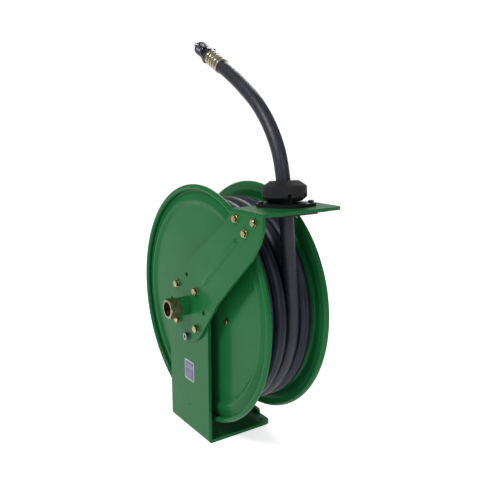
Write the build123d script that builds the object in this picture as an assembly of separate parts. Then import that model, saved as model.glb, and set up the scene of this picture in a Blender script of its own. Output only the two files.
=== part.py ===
from build123d import *
from math import acos, atan2, cos, degrees, pi, radians, sin, sqrt, tan
import os

# Spring-rewind hose reel on a single pedestal, with a quick disconnect coupler on its hose.
# Millimetres. +Z is up, the drum turns about an axis along Y, and the pedestal stands on the -Y side.
# The origin is on the floor, at the centre of the four bolt holes in the foot, below the drum's middle.

# --- driving dimensions -------------------------------------------------------------------------
AXIS_Z = 237.4            # height of the drum's axis
HOSE_R = 11.25            # outer radius of the half inch hose
DISC_R = 210.0            # drum disc, outer edge
RIM_Y = 62.0              # outermost face of each rolled rim, from the middle of the drum
PLATE_Y = 53.0            # outer face of each disc's flat plate
SHEET = 1.8               # disc sheet thickness
LANE = 25.6               # pitch of the hose turns across the drum
LAYER = 23.1              # pitch of the hose layers
TOP_LAYER_R = 173.2       # centreline radius of the outermost turns
LAYERS = 4
RUN_LANE_Y = LANE / 2     # the lane that the hose leaves from
CORE_R = TOP_LAYER_R - (LAYERS - 1) * LAYER - HOSE_R - 0.15
CORE_WALL = 1.8

PANEL_LEFT = -75.0        # pedestal, left edge
PANEL_RIGHT = 58.0        # pedestal, right edge, nearer its bolt holes
PANEL_Y = -77.0           # pedestal, outer face
PANEL_T = 6.0
ARM_T = 5.0
ARM_Y = PANEL_Y - ARM_T   # guide arm, outer face
HUB_R = 62.2              # rounded lower end of the guide arm
FOOT_FAR = 58.0           # far edge of the foot
FOOT_CORNER = 14.0
BEND_R = 7.0              # outer radius of the pedestal's bend
FOOT_HOLE_X = 47.0
FOOT_HOLE_Y = 44.0
FOOT_HOLE_R = 4.5
BOLT_SQUARE = 33.0        # half spacing of the four spindle bolts
BOLT_R = 4.0
PAWL_HOLE_R = 56.0        # radius of the ring of four pawl holes

ARM_TOP = 424.5           # top face of the arm's flange
ARM_LEFT = 138.5          # left edge of the arm's head and of its flange
ARM_RIGHT = 220.5
ARM_FAR = 70.0            # far edge of the flange
DECK_T = 4.0              # second flat layer, below the flange
DECK_X = (132.0, 203.0)
DECK_FAR = 62.0
DECK_Z = ARM_TOP - ARM_T  # where the two layers meet
GUIDE_X = 169.5           # centre of the hose guide
GUIDE_HOLE_R = 28.4       # round hole for the guide in both layers
SPINDLE_R = 22.0
SPINDLE_BORE = 14.0
SPINDLE_END = 16.0
FLANGE_Y = PANEL_Y + PANEL_T
FLANGE_T = 8.0
TUBE_R = 12.5
TUBE_BORE = 8.5
SLEEVE_R = 16.5
INLET_FACE = -121.0
SLEEVE_FACE = -102.0
RATCHET_R = 46.0
RATCHET_ROOT = 40.5
RATCHET_Y = (-61.0, -56.0)
TEETH = 16
RATCHET_PHASE = -128.0     # direction of the tooth root that the pawl's nose drops into

# free end of the hose: the points of its route, in the plane y = 0, as (x, z)
HOSE_ROUTE = [(165.2, 444.0), (158.5, 488.0), (137.0, 533.0), (100.0, 576.0), (54.0, 608.0),
              (20.0, 628.5), (-10.5, 644.5)]

os.makedirs("parts", exist_ok=True)


# --- small helpers ------------------------------------------------------------------------------
def save(name, shape):
    """Write one named node."""
    shape.label = name
    export_step(shape, f"parts/{name}.step")


def axis_plane(y):
    """Plane across the drum's axis at y, its x along X, its y along Z, its normal along -Y."""
    return Plane(origin=(0, y, AXIS_Z), x_dir=(1, 0, 0), z_dir=(0, -1, 0))


def disc(radius, y_from, y_to, x=0.0, z=0.0):
    """Solid cylinder along Y between two planes, centred x, z off the drum's axis."""
    low = min(y_from, y_to)
    return extrude(axis_plane(low) * Pos(x, z) * Circle(radius), -abs(y_to - y_from))


def ring(outer, inner, y_from, y_to, x=0.0, z=0.0):
    """Tube along Y."""
    return disc(outer, y_from, y_to, x, z) - disc(inner, y_from - 1, y_to + 1, x, z)


def slab(sketch, y_from, y_to):
    """Extrude a sketch, drawn in x and height above the axis, from y_from to y_to."""
    return extrude(axis_plane(min(y_from, y_to)) * sketch, -abs(y_to - y_from))


def hex_prism(across_flats, y_from, y_to, x=0.0, z=0.0):
    """Hexagonal bar along Y."""
    shape = RegularPolygon(across_flats / 2, 6, major_radius=False)
    return slab(Pos(x, z) * shape, y_from, y_to)


def turned(points):
    """Solid of revolution about the drum's axis from (radius, y) points."""
    flat = Plane(origin=(0, 0, AXIS_Z), x_dir=(1, 0, 0), z_dir=(0, 0, 1))
    return revolve(flat * make_face(Polyline(*points, close=True)), Axis((0, 0, AXIS_Z), (0, 1, 0)))


def upright(radius, x, y, z_from, z_to):
    """Solid cylinder along Z."""
    return extrude(Plane(origin=(x, y, z_from)) * Circle(radius), z_to - z_from)


def block(x0, x1, y0, y1, z0, z1):
    """Box between two corners."""
    return Pos((x0 + x1) / 2, (y0 + y1) / 2, (z0 + z1) / 2) * Box(x1 - x0, y1 - y0, z1 - z0)


def around(count, radius, start=0.0):
    """Places on a circle, as (x, z) off the drum's axis."""
    steps = [radians(start + 360.0 * i / count) for i in range(count)]
    return [(radius * cos(a), radius * sin(a)) for a in steps]


def group(solids):
    """Several separate solids in one node."""
    return Compound(children=list(solids))


# --- standing structure -------------------------------------------------------------------------
def square_places(half):
    return [(sx * half, sz * half) for sx in (-1, 1) for sz in (-1, 1)]


def make_pedestal():
    """Bent plate: an upright panel with a rounded top and a foot with a raised lip."""
    hub = HUB_R - 1
    left, right = (hub * cos(radians(165)), hub * sin(radians(165))), (hub, 0)
    outline = make_face([
        Line((PANEL_LEFT, -AXIS_Z), (PANEL_RIGHT, -AXIS_Z)),
        Line((PANEL_RIGHT, -AXIS_Z), (PANEL_RIGHT, -16)),
        Line((PANEL_RIGHT, -16), right),
        ThreePointArc(right, (0, hub), left),
        Line(left, (PANEL_LEFT, -11)),
        Line((PANEL_LEFT, -11), (PANEL_LEFT, -AXIS_Z)),
    ])
    panel = slab(outline, PANEL_Y, PANEL_Y + PANEL_T)
    foot = block(PANEL_LEFT, PANEL_RIGHT, PANEL_Y, FOOT_FAR, 0, PANEL_T)
    far_corners = [e for e in foot.edges().filter_by(Axis.Z) if e.center().Y > 0]
    foot = fillet(far_corners, FOOT_CORNER)
    lip = block(-26, 26, FOOT_FAR - PANEL_T, FOOT_FAR, PANEL_T - 1, 15)
    lip = fillet([e for e in lip.edges().filter_by(Axis.Y) if e.center().Z > 10], 6)
    body = panel + foot + lip
    bend = [e for e in body.edges().filter_by(Axis.X)
            if e.length > 100 and e.center().Z < 0.1 and e.center().Y < PANEL_Y + 0.1]
    body = fillet(bend, BEND_R)
    inner = [e for e in body.edges().filter_by(Axis.X)
             if e.length > 100 and abs(e.center().Z - PANEL_T) < 0.1
             and abs(e.center().Y - PANEL_Y - PANEL_T) < 0.1]
    body = fillet(inner, BEND_R - 3)
    for sx in (-1, 1):
        for sy in (-1, 1):
            body -= upright(FOOT_HOLE_R, sx * FOOT_HOLE_X, sy * FOOT_HOLE_Y, -1, PANEL_T + 1)
    return body - plate_holes(PANEL_Y, PANEL_Y + PANEL_T)


def plate_holes(y_from, y_to):
    """Centre hole, spindle bolts and the ring of pawl holes, through arm and panel."""
    cuts = disc(SLEEVE_R, y_from - 1, y_to + 1)
    for x, z in square_places(BOLT_SQUARE):
        cuts += disc(BOLT_R, y_from - 1, y_to + 1, x, z)
    for x, z in around(4, PAWL_HOLE_R):
        cuts += disc(BOLT_R, y_from - 1, y_to + 1, x, z)
    return cuts


BRACKET_BOLTS = [(153.5, 173.1), (201.5, 173.1), (178.0, 153.9)]
BRACKET_BOLT_R = 3.0
WASHER_T = 1.5
GUIDE_BOLTS = [(GUIDE_X - 15.3, -37.0), (GUIDE_X + 15.3, 37.0)]
GUIDE_BOLT_R = 2.5


def touch_point(x, z, side):
    """Where a line from (x, z) touches the hub's circle; side is -1 below the point, +1 above it."""
    angle = atan2(z, x) + side * acos(HUB_R / sqrt(x * x + z * z))
    return (HUB_R * cos(angle), HUB_R * sin(angle))


def arm_outline():
    """Side view of the arm: a rounded hub, a bar that rises to the right and a square head."""
    top = ARM_TOP - AXIS_Z
    right = [(101, 28), (190, 112), (214, 145), (ARM_RIGHT, 163), (ARM_RIGHT, top)]
    left = [(ARM_LEFT, top), (124, 163.6)]
    low, high = touch_point(*right[0], -1), touch_point(*left[-1], 1)
    corners = [low] + right + left + [high]
    sides = [Line(a, b) for a, b in zip(corners, corners[1:])]
    return make_face(sides + [ThreePointArc(high, (-HUB_R * cos(0.8), -HUB_R * sin(0.8)), low)])


def make_guide_arm():
    """Arm on the pedestal's outer face, with a pressed rib and a flange bent over at its head."""
    arm = slab(arm_outline(), ARM_Y, PANEL_Y)
    knees = [e for e in arm.edges().filter_by(Axis.Y)
             if 100 < e.center().X < ARM_RIGHT + 1 and 260 < e.center().Z < 402]
    arm = fillet(knees, 16)
    rib_from, rib_to = (62, 56), (152, 136)
    length = sqrt((rib_to[0] - rib_from[0]) ** 2 + (rib_to[1] - rib_from[1]) ** 2)
    angle = degrees(atan2(rib_to[1] - rib_from[1], rib_to[0] - rib_from[0]))
    middle = ((rib_from[0] + rib_to[0]) / 2, (rib_from[1] + rib_to[1]) / 2)
    rib = slab(Pos(*middle) * Rot(0, 0, angle) * SlotOverall(length + 12, 12), ARM_Y - 2.0, ARM_Y + 0.5)
    rib = chamfer(rib.faces().sort_by(Axis.Y)[0].edges(), 1.6)
    flange = block(ARM_LEFT, ARM_RIGHT, ARM_Y, ARM_FAR, DECK_Z, ARM_TOP)
    far_corners = [e for e in flange.edges().filter_by(Axis.Z) if e.center().Y > 0]
    flange = fillet(far_corners, 10)
    arm = arm + rib + flange
    bend = [e for e in arm.edges().filter_by(Axis.X)
            if e.length > 60 and abs(e.center().Z - ARM_TOP) < 0.1 and abs(e.center().Y - ARM_Y) < 0.1]
    arm = fillet(bend, 3.5)
    arm -= upright(GUIDE_HOLE_R, GUIDE_X, 0, DECK_Z - 1, ARM_TOP + 1)
    arm -= plate_holes(ARM_Y, PANEL_Y)
    for x, z in BRACKET_BOLTS:
        arm -= disc(BRACKET_BOLT_R, ARM_Y - 1, PANEL_Y + 1, x, z)
    for x, y in GUIDE_BOLTS:
        arm -= upright(GUIDE_BOLT_R, x, y, DECK_Z - 1, ARM_TOP + 1)
    return arm


def make_outlet_bracket():
    """Second layer below the arm's flange, with a lug bolted behind the arm's head."""
    deck = block(*DECK_X, PANEL_Y, DECK_FAR, DECK_Z - DECK_T, DECK_Z)
    deck = fillet([e for e in deck.edges().filter_by(Axis.Z) if e.center().Y > 0], 12)
    lug = block(142, 213, PANEL_Y, PANEL_Y + DECK_T, 376, DECK_Z)
    lug = fillet([e for e in lug.edges().filter_by(Axis.Y) if e.center().Z < 380], 14)
    body = deck + lug
    body -= upright(GUIDE_HOLE_R, GUIDE_X, 0, DECK_Z - DECK_T - 1, DECK_Z + 1)
    for x, z in BRACKET_BOLTS:
        body -= disc(BRACKET_BOLT_R, PANEL_Y - 1, PANEL_Y + DECK_T + 1, x, z)
    for x, y in GUIDE_BOLTS:
        body -= upright(GUIDE_BOLT_R, x, y, DECK_Z - DECK_T - 1, DECK_Z + 1)
    return body


def make_spindle():
    """Fixed hollow spindle with a square flange against the back of the panel."""
    side = 2 * BOLT_SQUARE + 16
    plate = slab(RectangleRounded(side, side, 8), FLANGE_Y, FLANGE_Y + FLANGE_T)
    plate -= disc(13, FLANGE_Y - 1, FLANGE_Y + FLANGE_T + 1, 0, -PAWL_HOLE_R)
    body = plate + disc(SPINDLE_R, FLANGE_Y + 1, SPINDLE_END)
    body -= disc(SPINDLE_BORE, FLANGE_Y - 1, SPINDLE_END + 1)
    for x, z in square_places(BOLT_SQUARE):
        body -= disc(BOLT_R, FLANGE_Y - 1, FLANGE_Y + FLANGE_T + 1, x, z)
    return body - ring(SPINDLE_R + 1, SPINDLE_R - 1.4, SPINDLE_END - 3.2, SPINDLE_END - 1.6)


def make_shaft_sleeve():
    tube = ring(SLEEVE_R, TUBE_R + 0.7, SLEEVE_FACE, FLANGE_Y)
    tube -= upright(2.6, 0, SLEEVE_FACE + 6, AXIS_Z + 8, AXIS_Z + 20)
    return tube


def hex_bolt(x, z, end_y, across, thick, washer_r, shank_r):
    """Bolt along Y through the arm, its head and washer on the arm's outer face."""
    face = ARM_Y - WASHER_T
    washer = disc(washer_r, face, ARM_Y, x, z)
    head = hex_prism(across, face - thick, face, x, z) & disc(across * 0.56, face - thick, face, x, z)
    return head + washer + disc(shank_r, face, end_y, x, z)


def make_spindle_bolts():
    end = FLANGE_Y + FLANGE_T - 0.5
    return group(hex_bolt(x, z, end, 12.7, 5.0, 7.4, BOLT_R) for x, z in square_places(BOLT_SQUARE))


def make_bracket_bolts():
    """Smaller bolts, screwed into the bracket's lug."""
    end = PANEL_Y + DECK_T + 1
    return group(hex_bolt(x, z, end, 10.0, 4.0, 6.3, BRACKET_BOLT_R) for x, z in BRACKET_BOLTS)


def make_spindle_clip():
    y1 = SPINDLE_END - 1.6
    clip = ring(SPINDLE_R + 2.6, SPINDLE_R - 1.4, y1 - 1.5, y1)
    return clip - block(-3, 3, y1 - 3, y1 + 1, AXIS_Z + 10, AXIS_Z + 40)


def make_label_plate():
    return slab(Pos(-4, -123) * RectangleRounded(33, 37, 2), PANEL_Y - 0.6, PANEL_Y)


# --- drum ---------------------------------------------------------------------------------------
def disc_sheet(side):
    """Pressed disc: flat middle, raised ridge, flat margin and a rolled rim. side is -1 or +1."""
    out = PLATE_Y
    inn = PLATE_Y - SHEET
    rise = 4.5
    sheet = [(31, out), (173, out), (180, out + rise), (183.5, out + rise), (195, out), (207, out),
             (207, inn), (194.4, inn), (183, inn + rise), (180.6, inn + rise), (173.6, inn), (31, inn)]
    body = turned([(r, side * y) for r, y in sheet])
    bead_r = 4.8
    bead_y = side * (RIM_Y - bead_r)
    flat = Plane(origin=(0, 0, AXIS_Z), x_dir=(1, 0, 0), z_dir=(0, 0, 1))
    bead = revolve(flat * Pos(DISC_R - bead_r, bead_y) * Circle(bead_r), Axis((0, 0, AXIS_Z), (0, 1, 0)))
    return body + bead


DISC_BOLT_R = 84.0
DISC_BOLTS = 4
DISC_BOLT_START = {-1: -8.0, 1: 37.0}    # first bolt on the near and on the far side, degrees


def make_disc(side):
    body = disc_sheet(side)
    if side > 0:
        body += disc(32, PLATE_Y - SHEET, PLATE_Y)
    for x, z in around(DISC_BOLTS, DISC_BOLT_R, DISC_BOLT_START[side]):
        body -= disc(3.0, side * (PLATE_Y + 1), side * (PLATE_Y - SHEET - 1), x, z)
    return body


def make_drum_core():
    edge = PLATE_Y - SHEET
    lip = 2.5
    half = [(CORE_R, 0), (CORE_R, edge), (76, edge), (76, edge - lip), (CORE_R - CORE_WALL, edge - lip),
            (CORE_R - CORE_WALL, 0)]
    other = [(r, -y) for r, y in reversed(half[1:-1])]
    body = turned(half + other)
    for side in (-1, 1):
        for x, z in around(DISC_BOLTS, DISC_BOLT_R, DISC_BOLT_START[side]):
            body -= disc(3.0, side * (edge + 1), side * (edge - lip - 1), x, z)
    port = extrude(Plane(origin=(0, 36, AXIS_Z), z_dir=(0, 0, 1)) * Circle(HOSE_R + 0.6), -CORE_R - 5)
    return body - port


def make_disc_bolts(side):
    bolts = []
    outside = side * PLATE_Y
    inside = side * (PLATE_Y - SHEET - 2.5)
    for x, z in around(DISC_BOLTS, DISC_BOLT_R, DISC_BOLT_START[side]):
        head = hex_prism(10, outside, outside + side * 4, x, z)
        nut = hex_prism(10, inside, inside - side * 5, x, z)
        bolts.append(head + nut + disc(3.0, outside, inside - side * 6.5, x, z))
    return group(bolts)


BUSH_R = 25.0
HUB_TUBE_R = 31.0
CUP_R = 72.0
CUP_Y = (-46.2, -8.0)
COVER_T = 4.0


def make_near_hub():
    edge = -(PLATE_Y - SHEET)
    tube = ring(HUB_TUBE_R, BUSH_R, RATCHET_Y[0], -40)
    return tube + ring(60, BUSH_R, edge, edge + 5)


def make_bush(y_from, y_to):
    return ring(BUSH_R, SPINDLE_R + 0.05, y_from, y_to)


def make_spring_cup():
    wall = 2.0
    cup = ring(CUP_R, CUP_R - wall, CUP_Y[0], CUP_Y[1])
    return cup + ring(CUP_R, HUB_TUBE_R + 0.1, CUP_Y[0], CUP_Y[0] + wall)


def make_spring_cover():
    """Lid of the spring cup, whose hub holds the second bush."""
    y0 = CUP_Y[1]
    return ring(CUP_R + 3, BUSH_R, y0, y0 + COVER_T) + ring(HUB_TUBE_R, BUSH_R, y0, SPINDLE_END - 4)


def make_power_spring():
    """Flat spiral strip, from just clear of the spindle out to the cup."""
    turns = 9
    start, end, strip = 24.2, CUP_R - 4.2, 1.3
    steps = turns * 12

    def point(i, offset):
        a = 2 * pi * i / 12
        r = start + (end - start) * i / steps + offset
        return (r * cos(a), r * sin(a))

    inner = [point(i, 0) for i in range(steps + 1)]
    outer = [point(i, strip) for i in range(steps + 1)]
    face = make_face([Spline(*inner), Line(inner[-1], outer[-1]), Spline(*outer), Line(outer[0], inner[0])])
    return slab(face, -38.5, -10.5)


def make_ratchet_ring():
    tooth = []
    for i in range(TEETH):
        a = 2 * pi * i / TEETH + radians(RATCHET_PHASE)
        tooth.append((RATCHET_ROOT * cos(a), RATCHET_ROOT * sin(a)))
        b = a + 2 * pi / TEETH * 0.92
        tooth.append((RATCHET_R * cos(b), RATCHET_R * sin(b)))
    wheel = make_face(Polyline(*tooth, close=True))
    return slab(wheel, *RATCHET_Y) - disc(HUB_TUBE_R, RATCHET_Y[0] - 1, RATCHET_Y[1] + 1)


ELBOW_Y = 36.0
ELBOW_R = 18.0


def make_fluid_tube():
    return ring(TUBE_R, TUBE_BORE, SLEEVE_FACE + 5, ELBOW_Y - 14)


def make_outlet_elbow():
    """Brass block on the end of the fluid tube, with a port down to the drum core."""
    far = PLATE_Y - SHEET
    body = disc(ELBOW_R, ELBOW_Y - 14, far)
    neck = extrude(Plane(origin=(0, ELBOW_Y, AXIS_Z - 10), z_dir=(0, 0, -1)) * Circle(10), 52)
    body += neck
    body -= disc(TUBE_BORE, ELBOW_Y - 15, ELBOW_Y + 6)
    body -= extrude(Plane(origin=(0, ELBOW_Y, AXIS_Z), z_dir=(0, 0, -1)) * Circle(6), 70)
    return body


def make_inner_hose():
    """Start of the hose, from the elbow through the drum core."""
    tail = Plane(origin=(0, ELBOW_Y, AXIS_Z - 62), z_dir=(0, 0, -1))
    return extrude(tail * Circle(HOSE_R), CORE_R - 63) - extrude(tail * Circle(6.35), CORE_R - 60)


def make_far_cap():
    y0 = PLATE_Y
    cap = turned([(0, y0), (52, y0), (52, y0 + 2), (40, y0 + 6), (0, y0 + 6)])
    bolts = [hex_prism(10, y0 + 2, y0 + 6, x, z) for x, z in around(4, 45, 45)]
    for bolt in bolts:
        cap += bolt
    return cap


def turn_of_hose(radius, y):
    """One full turn of hose round the drum's axis."""
    flat = Plane(origin=(0, 0, AXIS_Z), x_dir=(1, 0, 0), z_dir=(0, 0, 1))
    return revolve(flat * Pos(radius, y) * Circle(HOSE_R), Axis((0, 0, AXIS_Z), (0, 1, 0)))


def make_hose_pack():
    """The wound turns as one solid, without the top turn of the lane that the hose leaves from."""
    low = TOP_LAYER_R - LAYER
    edge = 1.5 * LANE + HOSE_R
    body = ring(low, CORE_R + 0.1, -edge, edge) + turn_of_hose(low, RUN_LANE_Y)
    body += ring(TOP_LAYER_R, low - 1, -edge, -0.5 * LANE + HOSE_R)
    body += ring(TOP_LAYER_R, low - 1, edge - 2 * HOSE_R, edge)
    for y in (-1.5 * LANE, -0.5 * LANE, 1.5 * LANE):
        body += turn_of_hose(TOP_LAYER_R, y)
    return body


# --- latch --------------------------------------------------------------------------------------
PAWL_SWING = 14.0         # from rest, clear of the ratchet, to locked in a tooth root
PAWL_LOCKED = [(-25.1, -33.0), (-22.4, -36.6), (-22.9, -41.3), (-12.3, -45.9), (-4.5, -50.0),
               (-4.0, -62.3), (-28.0, -48.5), (-29.4, -38.6)]


def make_pawl():
    """Hooked pawl, drawn locked in the ratchet and swung back to rest about its pin."""
    hook = make_face(Polyline(*PAWL_LOCKED, close=True))
    body = slab(hook, *RATCHET_Y) + disc(7.5, RATCHET_Y[0], RATCHET_Y[1], 0, -PAWL_HOLE_R)
    body -= disc(BOLT_R + 0.05, RATCHET_Y[0] - 1, RATCHET_Y[1] + 1, 0, -PAWL_HOLE_R)
    pivot = Axis((0, 0, AXIS_Z - PAWL_HOLE_R), (0, -1, 0))
    return body.rotate(pivot, PAWL_SWING)


def make_pawl_pin():
    """Shoulder bolt with a socket head outside and a snap end behind the pawl."""
    x, z = 0, -PAWL_HOLE_R
    head = ring(6.5, 2.6, ARM_Y - 6, ARM_Y, x, z) + disc(6.5, ARM_Y - 2.5, ARM_Y, x, z)
    shank = disc(BOLT_R, ARM_Y - 1, RATCHET_Y[1] + 1.4, x, z)
    spacer = ring(6.5, BOLT_R, RATCHET_Y[0] - 1.6, RATCHET_Y[0] - 0.4, x, z)
    return head + shank + spacer + disc(5.5, RATCHET_Y[1] + 0.4, RATCHET_Y[1] + 1.4, x, z)


def make_pawl_spring():
    """Torsion spring round the pin, between panel and pawl."""
    wire = 0.6
    pitch = 1.5
    height = 5.4
    coil = Helix(pitch, height, 5.4)
    start = Plane(origin=coil @ 0, z_dir=coil % 0)
    spring = sweep(start * Circle(wire), path=coil, is_frenet=True)
    return Pos(0, FLANGE_Y + 0.9, AXIS_Z - PAWL_HOLE_R) * Rot(-90, 0, 0) * spring


# --- inlet --------------------------------------------------------------------------------------
STEM_R = TUBE_BORE - 0.05
SEAL_R = 0.9
SEAL_PLACES = (SLEEVE_FACE + 12, SLEEVE_FACE + 18)


def make_inlet_swivel():
    """Brass hexagon with a female pipe port and a stem that turns in the fluid tube."""
    nut = hex_prism(31.75, INLET_FACE, SLEEVE_FACE - 0.6)
    nut &= turned([(0, INLET_FACE), (15.6, INLET_FACE), (18.4, INLET_FACE + 1.8),
                   (18.4, SLEEVE_FACE - 1.6), (17, SLEEVE_FACE - 0.6), (0, SLEEVE_FACE - 0.6)])
    stem = disc(STEM_R, SLEEVE_FACE - 2, SLEEVE_FACE + 27)
    body = nut + stem
    body -= disc(12.6, INLET_FACE - 1, INLET_FACE + 14)
    body -= disc(6.0, INLET_FACE, SLEEVE_FACE + 28)
    for y in SEAL_PLACES:
        body -= ring(STEM_R + 1, STEM_R - 2 * SEAL_R, y - SEAL_R - 0.1, y + SEAL_R + 0.1)
    return body


def make_swivel_seals():
    flat = Plane(origin=(0, 0, AXIS_Z), x_dir=(1, 0, 0), z_dir=(0, 0, 1))
    middle = STEM_R - SEAL_R
    turn = Axis((0, 0, AXIS_Z), (0, 1, 0))
    return group(revolve(flat * Pos(middle, y) * Circle(SEAL_R), turn) for y in SEAL_PLACES)


def make_swivel_clip():
    y0 = SLEEVE_FACE + 1.5
    clip = ring(12.0, STEM_R, y0, y0 + 1.2)
    return clip - block(-2.5, 2.5, y0 - 1, y0 + 3, AXIS_Z - 20, AXIS_Z)


# --- hose guide and stop ------------------------------------------------------------------------
ROLLER_R = 3.4
ROLLER_OUT = HOSE_R + 1.25 + ROLLER_R
ROLLER_HALF = 17.0
PIN_R = 1.5
PIN_HALF = 20.0
LOW_ROLLER_Z = 419.3
HIGH_ROLLER_Z = 426.5
COLLAR_R = 31.0
COLLAR_TOP = 430.2
EAR_T = 5.0               # thickness of the guide's flange above the arm's flange
RING_T = 3.0
RING_TOP = DECK_Z - DECK_T
HOSE_WINDOW_R = 18.0


def make_guide_housing():
    """Moulded guide: a round collar with two ears, and a spigot that fills the hole in the deck."""
    ear = Vector(GUIDE_BOLTS[1][0] - GUIDE_X, GUIDE_BOLTS[1][1]).length
    turn = degrees(atan2(GUIDE_BOLTS[1][1], GUIDE_BOLTS[1][0] - GUIDE_X))
    reach, half_end = ear + 6.0, 7.5
    along_waist, across_waist = 18.0, COLLAR_R - 5.0
    quarter = [(reach, half_end), (along_waist, across_waist)]
    left_half = [(-x, y) for x, y in reversed(quarter)]
    outline = quarter + left_half + [(-x, -y) for x, y in quarter + left_half]
    seat = Plane(origin=(GUIDE_X, 0, ARM_TOP)) * Rot(0, 0, turn)
    flange = extrude(seat * Polygon(*outline, align=None), EAR_T)
    body = flange + upright(COLLAR_R, GUIDE_X, 0, ARM_TOP, COLLAR_TOP)
    body += upright(GUIDE_HOLE_R - 0.3, GUIDE_X, 0, RING_TOP + 0.2, ARM_TOP + 1)
    long, wide = ROLLER_HALF + 0.4, ROLLER_OUT + ROLLER_R + 0.4
    between = (LOW_ROLLER_Z + HIGH_ROLLER_Z) / 2
    body -= block(GUIDE_X - wide, GUIDE_X + wide, -long, long, RING_TOP, between)
    body -= block(GUIDE_X - long, GUIDE_X + long, -wide, wide, between - 1, COLLAR_TOP + 1)
    for pin in roller_pin_rods():
        body -= pin
    for x, y in GUIDE_BOLTS:
        body -= upright(GUIDE_BOLT_R, x, y, ARM_TOP - 1, ARM_TOP + EAR_T + 1)
    return body


def make_guide_ring():
    """Threaded plate under the deck that the guide's screws pull against."""
    body = block(GUIDE_X - 27, GUIDE_X + 27, -46, 46, RING_TOP - RING_T, RING_TOP)
    body = fillet(body.edges().filter_by(Axis.Z), 8)
    body -= upright(HOSE_WINDOW_R, GUIDE_X, 0, RING_TOP - RING_T - 1, RING_TOP + 1)
    for x, y in GUIDE_BOLTS:
        body -= upright(GUIDE_BOLT_R, x, y, RING_TOP - RING_T - 1, RING_TOP + 1)
    return body


def make_guide_screws():
    screws = []
    seat = ARM_TOP + EAR_T
    for x, y in GUIDE_BOLTS:
        head = extrude(Plane(origin=(x, y, seat)) * RegularPolygon(4, 6, major_radius=False), 3.5)
        screws.append(head + upright(GUIDE_BOLT_R, x, y, RING_TOP - RING_T - 1, seat))
    return group(screws)


def along(direction, x, y, z):
    """Plane at a point, looking along X or Y."""
    return Plane(origin=(x, y, z), z_dir=(1, 0, 0) if direction == "x" else (0, 1, 0))


def roller_rod(direction, sign, radius, half):
    """Cylinder on a roller's axis: the low pair lies along Y, the high pair along X."""
    if direction == "y":
        start = along("y", GUIDE_X + sign * ROLLER_OUT, -half, LOW_ROLLER_Z)
    else:
        start = along("x", GUIDE_X - half, sign * ROLLER_OUT, HIGH_ROLLER_Z)
    return extrude(start * Circle(radius), 2 * half)


def roller_pin_rods():
    return [roller_rod(direction, sign, PIN_R, PIN_HALF) for direction in "xy" for sign in (-1, 1)]


def make_roller(direction, sign):
    roller = roller_rod(direction, sign, ROLLER_R, ROLLER_HALF)
    roller = chamfer(roller.edges(), 0.6)
    return roller - roller_rod(direction, sign, PIN_R + 0.05, ROLLER_HALF + 1)


def make_roller_pins():
    return group(roller_pin_rods())


def stop_axis_x(z):
    """The hose leans as it passes the stop: its centre at height z."""
    (x0, z0), (x1, z1) = HOSE_ROUTE[0], HOSE_ROUTE[1]
    return x0 + (x1 - x0) * (z - z0) / (z1 - z0)


STOP_X = GUIDE_X - 3.0
STOP_BOTTOM = 432.4       # middle of the stop's lower face
STOP_HEIGHT = 31.0
STOP_TILT = 4.0           # degrees; it leans with the hose
STOP_SCREW_Y = 15.0
STOP_SCREW_Z = 443.0
STOP_SCREW_R = 1.75
STOP_SEAT = 24.0          # from the middle of the stop to the seat of each screw's head
STOP_HEAD_R = 3.0
STOP_HEAD_T = 3.0


def leaning_bore(radius):
    """Cylinder along the leaning hose, through the stop."""
    z0, z1 = STOP_BOTTOM - 8, STOP_BOTTOM + STOP_HEIGHT + 8
    a = Vector(stop_axis_x(z0), 0, z0)
    b = Vector(stop_axis_x(z1), 0, z1)
    return extrude(Plane(origin=a, z_dir=b - a) * Circle(radius), (b - a).length)


def stop_blank():
    """Round puck with a chamfered lower edge and a conical top."""
    lean = radians(STOP_TILT)
    stand = Plane(origin=(STOP_X, 0, STOP_BOTTOM), x_dir=(cos(lean), 0, sin(lean)),
                  z_dir=(-sin(lean), 0, cos(lean)))
    rows = [(0, 0), (27, 0), (34.5, 6.5), (34.5, 22), (33.0, 23.6), (22.5, STOP_HEIGHT), (0, STOP_HEIGHT)]
    profile = make_face(Polyline(*[(r, 0, h) for r, h in rows], close=True))
    return stand.location * revolve(profile, Axis.Z)


def make_stop_half(sign):
    """One half of the stop; sign +1 is the half on the +X side."""
    split = 0.4
    x_from, x_to = (STOP_X + split, STOP_X + 60) if sign > 0 else (STOP_X - 60, STOP_X - split)
    half = stop_blank() & block(x_from, x_to, -60, 60, 400, 500)
    half -= leaning_bore(HOSE_R + 0.05)
    seat = STOP_X + STOP_SEAT if sign > 0 else STOP_X - STOP_SEAT - 20
    for y in (-STOP_SCREW_Y, STOP_SCREW_Y):
        half -= extrude(along("x", STOP_X - 40, y, STOP_SCREW_Z) * Circle(STOP_SCREW_R), 80)
        half -= extrude(along("x", seat, y, STOP_SCREW_Z) * Circle(STOP_HEAD_R + 0.4), 20)
    return half


def make_stop_screws():
    """Two screws along X that clamp the halves on the hose, with sunk heads and nuts."""
    screws = []
    for y in (-STOP_SCREW_Y, STOP_SCREW_Y):
        front = along("x", STOP_X + STOP_SEAT, y, STOP_SCREW_Z)
        back = along("x", STOP_X - STOP_SEAT - STOP_HEAD_T, y, STOP_SCREW_Z)
        shank = extrude(back * Circle(STOP_SCREW_R), 2 * STOP_SEAT + STOP_HEAD_T)
        head = extrude(front * Circle(STOP_HEAD_R), STOP_HEAD_T)
        socket = along("x", STOP_X + STOP_SEAT + 1.2, y, STOP_SCREW_Z)
        head -= extrude(socket * RegularPolygon(1.5, 6), STOP_HEAD_T)
        nut = extrude(back * RegularPolygon(2.75, 6, major_radius=False), STOP_HEAD_T)
        screws.append(shank + head + nut)
    return group(screws)


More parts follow.
